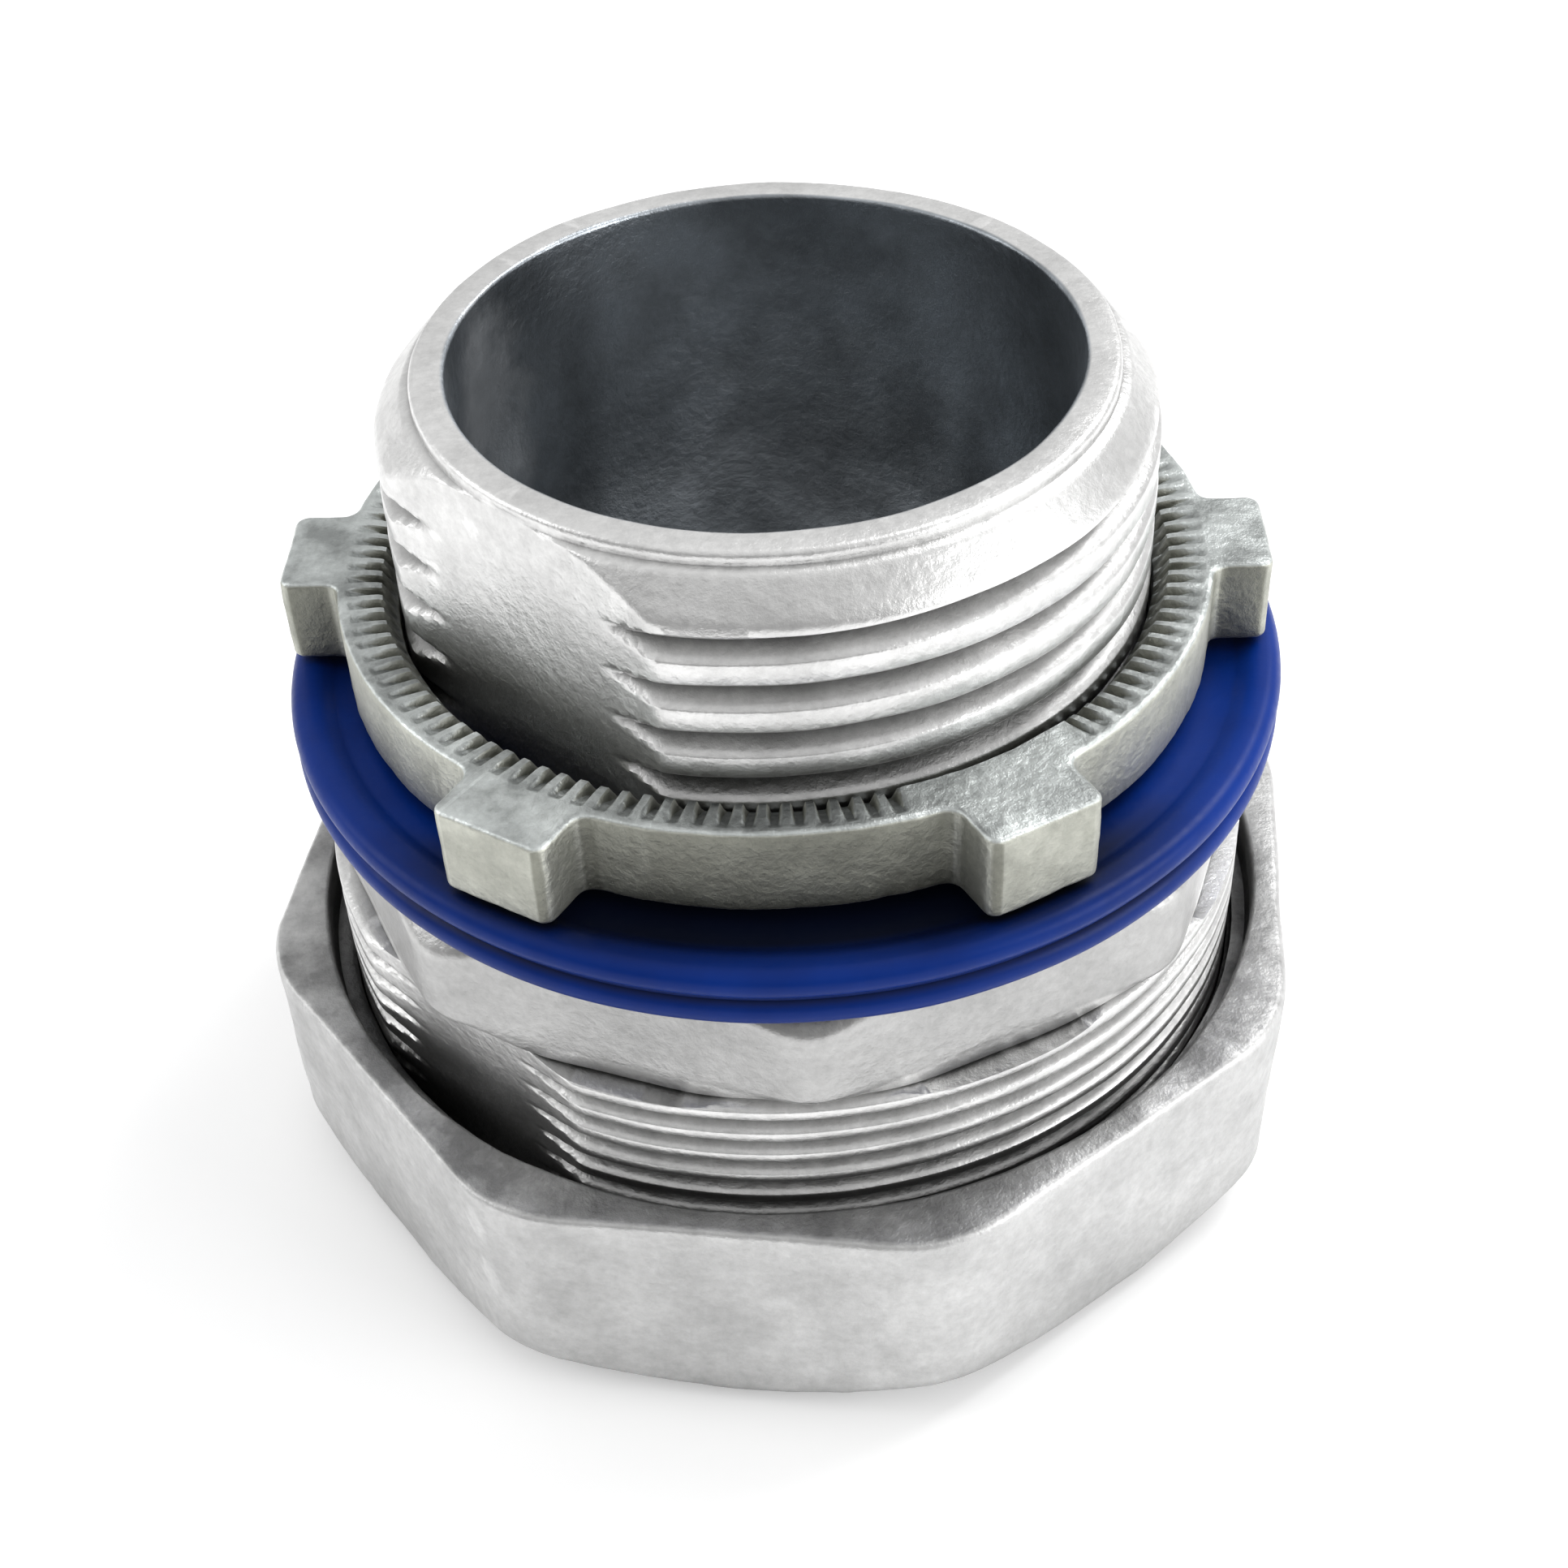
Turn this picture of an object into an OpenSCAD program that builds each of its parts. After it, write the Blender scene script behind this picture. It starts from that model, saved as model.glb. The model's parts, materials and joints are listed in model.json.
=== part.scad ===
// Raintight compression connector for 3/4 in threadless rigid conduit.
// Millimetres, +Z up: the compression nut stands on Z = 0 and the threaded hub points up.

/* [Overall] */
// Height from the compression nut's end face to the hub's rim
overall_h = 32.5; // [32:0.1:34]
// Outside diameter of the conduit that the fitting grips
conduit_d = 26.7; // [26.5:0.05:26.8]

/* [Hub] */
// Diameter over the hub's thread crests
hub_d = 26.44; // [26.2:0.02:26.6]
// Pitch of the hub's thread, 14 turns an inch
hub_pitch = 1.814; // [1.75:0.002:1.85]
// Height of the hub above the shoulder
hub_h = 13.7; // [13.5:0.1:14]
// Diameter of the wire way through the hub
throat_d = 21.2; // [20.4:0.1:21.6]

/* [Shoulder] */
// Height of the octagonal shoulder
shoulder_h = 4.1; // [3.9:0.05:4.3]
// Distance across the shoulder's flats
shoulder_flats = 33.1; // [32.6:0.1:33.4]
// Angle of the shoulder's first corner about Z
shoulder_turn = 1.5; // [0:0.5:44]

/* [Compression thread] */
// Diameter over the crests of the compression thread
gland_d = 34.56; // [34.4:0.02:34.7]
// Pitch of the compression thread, 24 turns an inch
gland_pitch = 1.058; // [1:0.002:1.1]
// Height of the body's conduit end above the nut's end face
body_end_z = 5.6; // [5.5:0.05:5.7]

/* [Compression nut] */
// Height of the nut
nut_h = 9.9; // [9.6:0.1:10.2]
// Distance across the nut's flats
nut_flats = 38.4; // [38:0.1:39]
// Diameter to which the nut's corners are turned down
nut_corner_d = 40.6; // [40.2:0.1:41]
// Angle of the nut's first corner about Z
nut_turn = 13.7; // [0:0.1:44]

/* [Locknut] */
// Height of the locknut's underside above the shoulder
locknut_lift = 2.6; // [2.55:0.05:3.2]
// Thickness of the locknut
locknut_h = 3.25; // [3:0.05:3.5]
// Diameter of the locknut's ring
locknut_ring_d = 30.8; // [30.2:0.1:31.4]
// Diameter over the locknut's lugs
locknut_lug_d = 34.7; // [34:0.1:35.2]
// Width of each lug
lug_w = 4.2; // [3.8:0.1:4.6]
// Angle of the first lug about Z
locknut_turn = -2.5; // [-30:0.5:30]

/* [Sealing ring] */
// Outside diameter of the sealing ring
seal_d = 35.6; // [35.2:0.1:35.8]
// Height of the sealing ring
seal_h = 2.25; // [2.2:0.05:2.3]

/* [Hidden] */

$fn = 128;
eps = 0.5;                // how far a cutter runs past the face that it opens
run_gap = 0.08;           // radial clearance of a nut's smooth bore over its thread's crests
face_gap = 0.05;          // clearance between faces that lie on each other and turn

hub_r = hub_d / 2;
throat_r = throat_d / 2;
seat_z = overall_h - hub_h;
shoulder_z = seat_z - shoulder_h;
shoulder_corner_r = shoulder_flats / 2 / cos(180 / 8);
shoulder_top_r = shoulder_flats / 2 + 0.1;
shoulder_bevel_h = 1;      // height of the bevel on the shoulder's upper corners
gland_r = gland_d / 2;
conduit_r = conduit_d / 2;

// Hub thread: its crests are wide, as a die casting's are
hub_thread_depth = 0.8;
hub_groove_w = 0.9;
hub_root_w = 0.2;
hub_grooves = 6;
hub_first_groove = 2.45;   // depth of the first groove's middle below the rim
hub_lip_r = 11.8;          // outside radius of the raised rim
hub_lip_h = 0.45;          // height of the raised rim
hub_lead = 1.9;            // depth of the full thread diameter below the rim

// Compression thread
gland_thread_depth = 0.6;
gland_groove_w = 0.62;
gland_root_w = 0.12;
gland_grooves = 7;
gland_first_groove = 1.4;   // depth of the first groove's middle below the shoulder
gland_lead = 0.5;
gland_relief_h = 0.2;      // height of the relief under the shoulder
gland_neck_r = 15.5;       // inner part that runs up into the shoulder

// The threads are left off on a flat along each parting line of the casting
parting_angle = 45;
hub_flat_r = 11.8;
gland_flat_r = 16.45;

// Conduit socket and the cone that closes the compression ring
socket_r = conduit_r + 0.15;
socket_top_z = 16.8;
cone_mouth_r = 15.6;
cone_h = 3;

// Compression nut, inside
floor_h = 2;
entry_r = conduit_r + 0.25;
entry_bevel = 0.8;
gland_room_r = 16;
gland_room_h = 2.7;
nut_bore_r = gland_r + run_gap;
nut_mouth_r = 18.1;
nut_mouth_h = 1.6;
nut_end_r = 18.4;
nut_end_bevel = 1.76;

// Compression ring, gasket and slip washer, stacked on the nut's floor
washer_z = floor_h + face_gap;
washer_h = 0.6;
gasket_h = 1.3;
gasket_z = washer_z + washer_h;
ring_z = gasket_z + gasket_h;
ring_base_h = 0.65;
ring_h = 2.45;
ring_base_r = 15.4;
ring_nose_r = 14.2;
ring_slot_w = 2;

// Locknut, inside
locknut_z = seat_z + locknut_lift;
locknut_bore_r = hub_r + run_gap;
locknut_mouth_r = 14.05;
locknut_mouth_h = 0.75;

// Sealing ring, with two beads round its rim
seal_z = seat_z + face_gap;
seal_r = seal_d / 2;
seal_bore_r = hub_r + 0.48;   // the ring is loose on the hub
seal_bevel = 0.35;
seal_waist = 0.3;
seal_dish = 0.3;
seal_rim_w = 1.1;

zinc = [0.78, 0.78, 0.77];
plated_zinc = [0.72, 0.74, 0.73];
steel = [0.6, 0.61, 0.62];
seal_blue = [0.04, 0.16, 0.5];
black_rubber = [0.08, 0.08, 0.08];

// Four points of one thread groove, going down the profile
function groove(r, depth, z, w, root) = [
    [r, z + w / 2],
    [r - depth, z + root / 2],
    [r - depth, z - root / 2],
    [r, z - w / 2]
];

// All the grooves of a thread, going down from the first one
function grooves(r, depth, z, w, root, pitch, count) = [
    for (i = [0:count - 1], p = groove(r, depth, z - i * pitch, w, root)) p
];

// Two opposite flats cut into a threaded length
module parting_flats(distance, width, z, h) {
    for (side = [0, 180])
        rotate([0, 0, parting_angle + side])
            translate([distance, -width / 2, z])
                cube([width, width, h]);
}

module hub() {
    difference() {
        rotate_extrude()
            polygon(concat(
                [[0, seat_z - eps], [0, overall_h], [hub_lip_r, overall_h],
                 [hub_lip_r, overall_h - hub_lip_h], [hub_r, overall_h - hub_lead]],
                grooves(hub_r, hub_thread_depth, overall_h - hub_first_groove,
                        hub_groove_w, hub_root_w, hub_pitch, hub_grooves),
                [[hub_r, seat_z - eps]]
            ));
        parting_flats(hub_flat_r, hub_d, seat_z, hub_h + eps);
    }
}

module shoulder() {
    intersection() {
        rotate([0, 0, shoulder_turn])
            translate([0, 0, shoulder_z])
                cylinder(r = shoulder_corner_r, h = shoulder_h, $fn = 8);
        // Turned envelope: it bevels the octagon's upper corners
        rotate_extrude()
            polygon([
                [0, shoulder_z], [0, seat_z], [shoulder_top_r, seat_z],
                [shoulder_corner_r, seat_z - shoulder_bevel_h], [shoulder_corner_r, shoulder_z]
            ]);
    }
}

module gland_barrel() {
    root_r = gland_r - gland_thread_depth;
    difference() {
        rotate_extrude()
            polygon(concat(
                [[0, body_end_z], [0, shoulder_z + eps], [gland_neck_r, shoulder_z + eps],
                 [gland_neck_r, shoulder_z], [root_r, shoulder_z],
                 [root_r, shoulder_z - gland_relief_h], [gland_r, shoulder_z - 2 * gland_relief_h]],
                grooves(gland_r, gland_thread_depth, shoulder_z - gland_first_groove,
                        gland_groove_w, gland_root_w, gland_pitch, gland_grooves),
                [[gland_r, body_end_z + gland_lead], [gland_r - gland_lead, body_end_z]]
            ));
        parting_flats(gland_flat_r, gland_d, body_end_z - eps, shoulder_z - body_end_z + eps);
    }
}

module conduit_passage() {
    translate([0, 0, body_end_z])
        cylinder(r = throat_r, h = overall_h - body_end_z + eps);
    translate([0, 0, body_end_z])
        cylinder(r = socket_r, h = socket_top_z - body_end_z);
    translate([0, 0, body_end_z - eps])
        cylinder(r = cone_mouth_r, h = eps);
    translate([0, 0, body_end_z])
        cylinder(r1 = cone_mouth_r, r2 = socket_r, h = cone_h);
}

module body() {
    color(zinc)
        difference() {
            union() {
                hub();
                shoulder();
                gland_barrel();
            }
            conduit_passage();
        }
}

module locknut() {
    color(plated_zinc)
        translate([0, 0, locknut_z])
            difference() {
                union() {
                    cylinder(d = locknut_ring_d, h = locknut_h);
                    // Each bar across the ring makes two opposite lugs
                    intersection() {
                        cylinder(d = locknut_lug_d, h = locknut_h);
                        for (i = [0:2])
                            rotate([0, 0, locknut_turn + i * 60])
                                translate([-locknut_lug_d, -lug_w / 2, 0])
                                    cube([2 * locknut_lug_d, lug_w, locknut_h]);
                    }
                }
                translate([0, 0, -eps])
                    cylinder(r = locknut_bore_r, h = locknut_h + 2 * eps);
                translate([0, 0, locknut_h - locknut_mouth_h])
                    cylinder(r1 = locknut_bore_r, r2 = locknut_mouth_r, h = locknut_mouth_h);
            }
}

module sealing_ring() {
    bead_h = (seal_h - 2 * seal_bevel) / 2;
    color(seal_blue)
        translate([0, 0, seal_z])
            rotate_extrude()
                polygon([
                    [seal_bore_r, 0],
                    [seal_r - seal_bevel, 0],
                    [seal_r, seal_bevel],
                    [seal_r, seal_bevel + bead_h - seal_waist],
                    [seal_r - seal_waist, seal_bevel + bead_h],
                    [seal_r, seal_bevel + bead_h + seal_waist],
                    [seal_r, seal_h - seal_bevel],
                    [seal_r - seal_bevel, seal_h],
                    [seal_r - seal_rim_w, seal_h],
                    [seal_r - seal_rim_w - seal_dish, seal_h - seal_dish],
                    [seal_bore_r, seal_h - seal_dish]
                ]);
}

module compression_nut() {
    color(zinc)
        difference() {
            intersection() {
                rotate([0, 0, nut_turn])
                    cylinder(r = nut_flats / 2 / cos(180 / 8), h = nut_h, $fn = 8);
                // Turned envelope: it rounds off the corners and bevels the end
                rotate_extrude()
                    polygon([
                        [0, 0], [nut_end_r, 0], [nut_corner_d / 2, nut_end_bevel],
                        [nut_corner_d / 2, nut_h], [0, nut_h]
                    ]);
            }
            translate([0, 0, -eps])
                cylinder(r = entry_r, h = floor_h + 2 * eps);
            cylinder(r1 = entry_r + entry_bevel, r2 = entry_r, h = entry_bevel);
            translate([0, 0, floor_h])
                cylinder(r = gland_room_r, h = gland_room_h + eps);
            translate([0, 0, floor_h + gland_room_h])
                cylinder(r = nut_bore_r, h = nut_h);
            translate([0, 0, nut_h - nut_mouth_h])
                cylinder(r = nut_mouth_r, h = nut_mouth_h + eps);
        }
}

module compression_ring() {
    color(steel)
        translate([0, 0, ring_z])
            difference() {
                rotate_extrude()
                    polygon([
                        [entry_r, 0], [ring_base_r, 0], [ring_base_r, ring_base_h],
                        [ring_nose_r, ring_h], [entry_r, ring_h]
                    ]);
                // The split that lets the ring close on the conduit
                rotate([0, 0, parting_angle])
                    translate([0, -ring_slot_w / 2, -eps])
                        cube([2 * ring_base_r, ring_slot_w, ring_h + 2 * eps]);
            }
}

module gasket() {
    bevel = 0.3;
    color(black_rubber)
        translate([0, 0, gasket_z])
            rotate_extrude()
                polygon([
                    [entry_r + bevel, 0], [ring_base_r - bevel, 0], [ring_base_r, bevel],
                    [ring_base_r, gasket_h - bevel], [ring_base_r - bevel, gasket_h],
                    [entry_r + bevel, gasket_h], [entry_r, gasket_h - bevel], [entry_r, bevel]
                ]);
}

module slip_washer() {
    color(steel)
        translate([0, 0, washer_z])
            difference() {
                cylinder(r = ring_base_r + 0.3, h = washer_h);
                translate([0, 0, -eps])
                    cylinder(r = entry_r + 0.2, h = washer_h + 2 * eps);
            }
}

body();
locknut();
sealing_ring();
compression_nut();
compression_ring();
gasket();
slip_washer();
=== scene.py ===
import json
import math

import bmesh
import bpy
import numpy as np
from mathutils import Matrix, Vector, noise


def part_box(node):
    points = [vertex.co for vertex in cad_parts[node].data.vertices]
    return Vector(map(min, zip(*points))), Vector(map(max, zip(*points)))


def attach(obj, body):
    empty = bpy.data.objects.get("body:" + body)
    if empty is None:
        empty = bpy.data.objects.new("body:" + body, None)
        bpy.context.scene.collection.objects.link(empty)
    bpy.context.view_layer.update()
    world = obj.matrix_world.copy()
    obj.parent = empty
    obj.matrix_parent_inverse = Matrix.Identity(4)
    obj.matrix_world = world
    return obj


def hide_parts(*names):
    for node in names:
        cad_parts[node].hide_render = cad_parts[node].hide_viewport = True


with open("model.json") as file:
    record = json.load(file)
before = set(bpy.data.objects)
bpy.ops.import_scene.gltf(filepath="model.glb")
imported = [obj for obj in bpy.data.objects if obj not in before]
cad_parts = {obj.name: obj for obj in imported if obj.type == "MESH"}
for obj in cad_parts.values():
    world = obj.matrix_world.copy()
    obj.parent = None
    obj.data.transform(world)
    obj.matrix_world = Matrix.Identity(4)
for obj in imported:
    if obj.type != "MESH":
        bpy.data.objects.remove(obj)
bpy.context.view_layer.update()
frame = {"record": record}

# Lengths in this script are in millimetres and are scaled to metres as each mesh is made.
MM = 0.001
TURN = 2 * math.pi


def box_mm(node):
    low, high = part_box(node)
    return np.array(low) / MM, np.array(high) / MM


def mount_radius(name):
    return next(m["dims"]["r_mm"] for m in frame["record"]["mounts"] if m["name"] == name)


# ---------------------------------------------------------------- sizes

body_low, body_high = box_mm("body")
nut_low, nut_high = box_mm("compression_nut")
lock_low, lock_high = box_mm("locknut")
seal_low, seal_high = box_mm("sealing_ring")
ring_low, ring_high = box_mm("compression_ring")
washer_low, washer_high = box_mm("slip_washer")
gasket_low, gasket_high = box_mm("gasket")

HUB_H = 13.7
SHOULDER_H = 4.1
TOP = body_high[2]
BODY_END = body_low[2]
SEAT = TOP - HUB_H
SHOULDER = SEAT - SHOULDER_H
SOCKET_TOP = 16.8

THROAT_R = mount_radius("throat")
SOCKET_R = mount_radius("conduit_socket")
ENTRY_R = mount_radius("conduit_entry")

HUB_R = 13.22
HUB_PITCH = 1.814
GLAND_R = 17.28
GLAND_PITCH = 1.058
HUB_PHASE = TOP - 2.07
GLAND_PHASE = 12.45
THREAD_GAP = 0.08
LOCK_BORE_R = HUB_R + THREAD_GAP
NUT_BORE_R = GLAND_R + THREAD_GAP
PARTING = math.radians(-134)
LUGS = 6
FIRST_LUG = math.radians(-2.5)


# ---------------------------------------------------------------- curves round the axis

def smooth_min(a, b, k):
    h = np.maximum(k - np.abs(a - b), 0) / k
    return np.minimum(a, b) - h * h * k / 4


def smooth_step(x, low, high):
    t = np.clip((x - low) / (high - low), 0, 1)
    return t * t * (3 - 2 * t)


def polygon_radius(theta, apothem, corner_r, first_corner, sides=8):
    """Distance from the axis to a regular polygon whose corners are rounded to corner_r."""
    half = math.pi / sides
    phi = (theta - first_corner) % (2 * half) - half
    tangent = np.arctan((apothem - corner_r) * math.tan(half) / apothem)
    centre = (apothem - corner_r) / math.cos(half)
    psi = half - np.abs(phi)
    arc = centre * np.cos(psi) + np.sqrt(np.maximum(corner_r ** 2 - (centre * np.sin(psi)) ** 2, 0))
    return np.where(np.abs(phi) <= tangent, apothem / np.cos(phi), arc)


def flat_radius(theta, distance, direction):
    """Distance from the axis to a plane that stands at the given distance and direction."""
    facing = np.cos(theta - direction)
    return np.where(facing > 0.3, distance / np.maximum(facing, 0.3), 99.0)


def parting_flats(theta, distance):
    """Distance from the axis to the two flats, on opposite sides, where the parting line runs."""
    return np.minimum(flat_radius(theta, distance, PARTING), flat_radius(theta, distance, PARTING + math.pi))


class Thread:
    """A right-hand helical groove: its pitch, widths and depth, and the height of its middle at angle 0."""

    def __init__(self, pitch, groove_w, root_w, depth, phase_z):
        self.pitch = pitch
        self.groove_w = groove_w
        self.root_w = root_w
        self.depth = depth
        self.phase_z = phase_z

    def cut(self, theta, z):
        """Depth of the groove at a place, from 0 on the crest to the full depth at the root."""
        turns = (z - self.phase_z) / self.pitch - theta / TURN
        off = np.abs(turns - np.round(turns)) * self.pitch
        slope = (self.groove_w - self.root_w) / 2
        x = (self.groove_w / 2 - off) / slope
        soft = 0.16
        x = smooth_min(x, 1.0, soft)
        return self.depth * -smooth_min(-x, 0.0, soft)

    def heights(self, theta, high, low):
        """Rows that follow the helix from high to low, so that the groove's edges stay sharp."""
        half, root = self.groove_w / 2 / self.pitch, self.root_w / 2 / self.pitch
        step = (half - root) / 3
        near = [half + 0.04, half, half - step, half - 2 * step, root, 0.0]
        offsets = sorted({round(s * v, 9) for v in near for s in (-1, 1)} | {0.5}, reverse=True)
        first = math.ceil((np.max(high) - self.phase_z) / self.pitch) + 1
        last = math.floor((low - self.phase_z) / self.pitch) - 2
        for turn in range(first, last - 1, -1):
            for offset in offsets:
                z = self.phase_z + self.pitch * (turn + offset + theta / TURN)
                if z.min() < np.max(high) and z.max() > low:
                    yield np.clip(z, low, high)


def hub_thread(depth):
    return Thread(HUB_PITCH, 0.98, 0.18, depth, HUB_PHASE)


def gland_thread(depth):
    return Thread(GLAND_PITCH, 0.66, 0.12, depth, GLAND_PHASE)


def edge_steps(radius, steps=4):
    """A quarter round from a level face to a wall: how far each row is set in, and how far down it lies."""
    angles = [math.radians(90 - 90 / steps * k) for k in range(steps + 1)]
    return [(radius * (1 - math.cos(a)), radius * (1 - math.sin(a))) for a in angles]


class Skin:
    """A closed surface made of rows; each row runs once round the axis and the last joins the first."""

    def __init__(self, columns):
        self.theta = columns
        self.rows = []

    def add(self, r, z):
        blank = np.zeros_like(self.theta)
        self.rows.append((blank + r, blank + z))

    def arc(self, r, z, radius, start, end, steps=4):
        """A rounded edge: centre (r, z), from the start to the end angle in degrees."""
        for a in np.radians(np.linspace(start, end, steps + 1)):
            self.add(r + radius * math.cos(a), z + radius * math.sin(a))

    def spread(self, first, last, steps):
        """Straight rows between two (r, z) pairs, without the first."""
        for k in range(1, steps + 1):
            t = k / steps
            self.add(first[0] + (last[0] - first[0]) * t, first[1] + (last[1] - first[1]) * t)

    def build(self, name, roughen=()):
        rows = len(self.rows)
        n = len(self.theta)
        points = np.zeros((rows, n, 3))
        for k, (r, z) in enumerate(self.rows):
            points[k, :, 0] = r * np.cos(self.theta)
            points[k, :, 1] = r * np.sin(self.theta)
            points[k, :, 2] = z
        index = np.arange(rows * n).reshape(rows, n)
        after = np.roll(index, -1, axis=0)
        faces = np.stack([index[:, :-1], after[:, :-1], after[:, 1:], index[:, 1:]], axis=-1)
        return finish_mesh(name, points.reshape(-1, 3), faces.reshape(-1, 4), roughen)


def finish_mesh(name, points, faces, roughen=()):
    """Joins doubled points, roughens the surface as a casting's is, and returns the new object."""
    mesh = bpy.data.meshes.new(name)
    mesh.from_pydata((points * MM).tolist(), [], faces.tolist())
    bm = bmesh.new()
    bm.from_mesh(mesh)
    bmesh.ops.remove_doubles(bm, verts=bm.verts, dist=0.002 * MM)
    bmesh.ops.dissolve_degenerate(bm, edges=bm.edges, dist=0.0005 * MM)
    bmesh.ops.recalc_face_normals(bm, faces=bm.faces)
    bm.normal_update()
    for size, height in roughen:
        for v in bm.verts:
            v.co += v.normal * noise.noise(v.co / (size * MM)) * height * MM
    for face in bm.faces:
        face.smooth = True
    bm.to_mesh(mesh)
    bm.free()
    mesh.set_sharp_from_angle(angle=math.radians(38))
    piece = bpy.data.objects.new(name, mesh)
    bpy.context.scene.collection.objects.link(piece)
    return piece


def place(piece, body, node, material):
    piece.data.materials.append(material)
    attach(piece, body)
    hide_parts(node)


# ---------------------------------------------------------------- materials

def new_material(name):
    material = bpy.data.materials.new(name)
    material.use_nodes = True
    nodes, links = material.node_tree.nodes, material.node_tree.links
    return material, nodes, links, nodes["Principled BSDF"]


def noise_node(nodes, links, where, scale, detail=6, roughness=0.6):
    """A noise texture laid on in object space; scale is in waves to the metre."""
    node = nodes.new("ShaderNodeTexNoise")
    node.inputs["Scale"].default_value = scale
    node.inputs["Detail"].default_value = detail
    node.inputs["Roughness"].default_value = roughness
    links.new(where, node.inputs["Vector"])
    return node.outputs["Fac"]


def ramp(nodes, links, value, stops):
    node = nodes.new("ShaderNodeValToRGB")
    node.color_ramp.elements[0].position = stops[0][0]
    node.color_ramp.elements[0].color = (*stops[0][1], 1)
    node.color_ramp.elements[1].position = stops[-1][0]
    node.color_ramp.elements[1].color = (*stops[-1][1], 1)
    for position, color in stops[1:-1]:
        node.color_ramp.elements.new(position).color = (*color, 1)
    links.new(value, node.inputs["Fac"])
    return node.outputs["Color"]


def mix_color(nodes, links, kind, factor, a, b):
    node = nodes.new("ShaderNodeMix")
    node.data_type = "RGBA"
    node.blend_type = kind
    for value, socket in ((factor, node.inputs["Factor"]), (a, node.inputs[6]), (b, node.inputs[7])):
        if isinstance(value, (int, float)):
            socket.default_value = value
        elif isinstance(value, tuple):
            socket.default_value = (*value, 1)
        else:
            links.new(value, socket)
    return node.outputs[2]


def grey(v, tint=(1, 1, 1)):
    return tuple(v * t for t in tint)


def occlusion(nodes, links, distance, stops):
    """Painted shade that darkens hollows, where a surface is shut in within the distance."""
    node = nodes.new("ShaderNodeAmbientOcclusion")
    node.samples = 6
    node.inputs["Distance"].default_value = distance
    return ramp(nodes, links, node.outputs["AO"], stops)


def map_range(nodes, links, value, from_min, from_max, to_min=0.0, to_max=1.0, kind="SMOOTHSTEP"):
    node = nodes.new("ShaderNodeMapRange")
    node.interpolation_type = kind
    links.new(value, node.inputs["Value"])
    limits = {"From Min": from_min, "From Max": from_max, "To Min": to_min, "To Max": to_max}
    for name, number in limits.items():
        node.inputs[name].default_value = number
    return node.outputs["Result"]


def math_node(nodes, links, kind, a, b):
    node = nodes.new("ShaderNodeMath")
    node.operation = kind
    for value, socket in ((a, node.inputs[0]), (b, node.inputs[1])):
        if isinstance(value, (int, float)):
            socket.default_value = value
        else:
            links.new(value, socket)
    return node.outputs[0]


def separate(nodes, links, vector):
    node = nodes.new("ShaderNodeSeparateXYZ")
    links.new(vector, node.inputs["Vector"])
    return node.outputs


def distance_from_axis(nodes, links, where):
    flat = nodes.new("ShaderNodeVectorMath")
    flat.operation = "MULTIPLY"
    flat.inputs[1].default_value = (1, 1, 0)
    links.new(where, flat.inputs[0])
    length = nodes.new("ShaderNodeVectorMath")
    length.operation = "LENGTH"
    links.new(flat.outputs["Vector"], length.inputs[0])
    return length.outputs["Value"]


def inside_passage(nodes, links, where):
    """1 on the walls of the wire way and the conduit socket, 0 on the rest of the body."""
    cone_limit_r, throat_limit_r = 15.8 * MM, 10.72 * MM
    soft = 0.06 * MM
    height = separate(nodes, links, where)["Z"]
    limit = map_range(nodes, links, height, (SOCKET_TOP + 0.1) * MM, (SOCKET_TOP + 0.3) * MM,
                      cone_limit_r, throat_limit_r, "LINEAR")
    past = math_node(nodes, links, "SUBTRACT", distance_from_axis(nodes, links, where), limit)
    return map_range(nodes, links, past, -soft, soft, 1.0, 0.0)


def passage_color(nodes, links, where, cloud, patch, tint):
    """The wire way's grey-blue walls, cloudy, with one paler patch on the left wall near the rim, a painted
    pool of light.
    """
    light_pool_color, patch_at, patch_squash = (0.93, 0.95, 0.97), (-0.00985, 0.0038, 0.0153), (1.0, 1.0, 0.55)
    patch_inner_r, patch_outer_r, ragged = 0.0028, 0.0050, 0.003
    streaks = ramp(nodes, links, cloud, ((0.35, grey(0.6, tint)), (0.65, grey(1.0, tint))))
    broad = ramp(nodes, links, patch, ((0.4, grey(0.6)), (0.62, grey(1.15))))
    walls = mix_color(nodes, links, "MULTIPLY", 0.9, streaks, broad)
    long_wise = nodes.new("ShaderNodeVectorMath")
    long_wise.operation = "MULTIPLY"
    long_wise.inputs[1].default_value = patch_squash
    links.new(where, long_wise.inputs[0])
    away = nodes.new("ShaderNodeVectorMath")
    away.operation = "DISTANCE"
    away.inputs[1].default_value = patch_at
    links.new(long_wise.outputs["Vector"], away.inputs[0])
    wobble = math_node(nodes, links, "MULTIPLY", cloud, ragged)
    reach = math_node(nodes, links, "ADD", away.outputs["Value"], wobble)
    # Painted pool of light on the left wall near the rim
    light_pool = map_range(nodes, links, reach, patch_inner_r, patch_outer_r, 1.0, 0.0)
    return mix_color(nodes, links, "MIX", light_pool, walls, light_pool_color)


def shaded_where(nodes, links, base, mask, color):
    """Multiplies the base colour by a shade where the mask is 1."""
    return mix_color(nodes, links, "MIX", mask, base, mix_color(nodes, links, "MULTIPLY", 1.0, base, color))


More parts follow.
